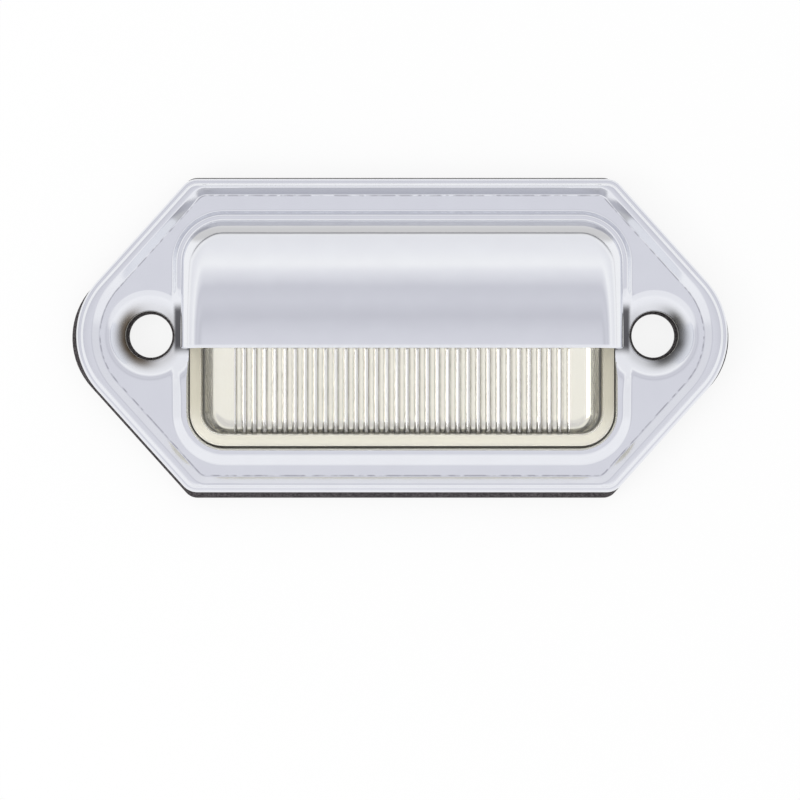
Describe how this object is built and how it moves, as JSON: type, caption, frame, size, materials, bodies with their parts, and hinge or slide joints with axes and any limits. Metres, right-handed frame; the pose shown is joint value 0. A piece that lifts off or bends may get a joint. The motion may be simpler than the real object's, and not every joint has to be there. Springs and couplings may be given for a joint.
{
  "type": "number plate lamp",
  "caption": "Surface-mounted number plate lamp: a long six-sided chrome cover with a hood over a clear ribbed lens, two dished screw holes and a rubber pad behind.",
  "frame": {"origin": "midway between the two screw holes, on the rear face of the rubber pad", "axes": "+X along the lamp's length, +Y to the hood side, +Z out of the panel it is screwed to"},
  "size_m": [0.0828, 0.0404, 0.015],
  "materials": {
    "chrome": "polished chrome plate on pressed steel",
    "clear_lens": "clear moulded polycarbonate",
    "rubber": "matt black moulded rubber",
    "reflector": "bright metal coating on moulded plastic",
    "board": "white solder mask",
    "led": "white package with a pale yellow filling",
    "chip": "black moulded chip",
    "base": "fine matt grey moulding",
    "seal": "black rubber",
    "silicone": "pale cream silicone rubber",
    "screw": "bright zinc",
    "brass": "tinned brass"
  },
  "bodies": {
    "root": {"bezel": "chrome", "lens": "clear_lens", "gasket": "rubber", "reflector": "reflector", "circuit_board": "board", "led_1": "led", "led_2": "led", "led_3": "led", "led_4": "led", "led_5": "led", "led_6": "led", "resistor_1": "chip", "resistor_2": "chip", "resistor_3": "chip", "diode": "chip", "base": "base", "lens_seal": "silicone", "board_screw_1": "screw", "board_screw_2": "screw", "terminal_1": "brass", "terminal_2": "brass", "wire_grommet": "seal"}
  },
  "joints": []
}
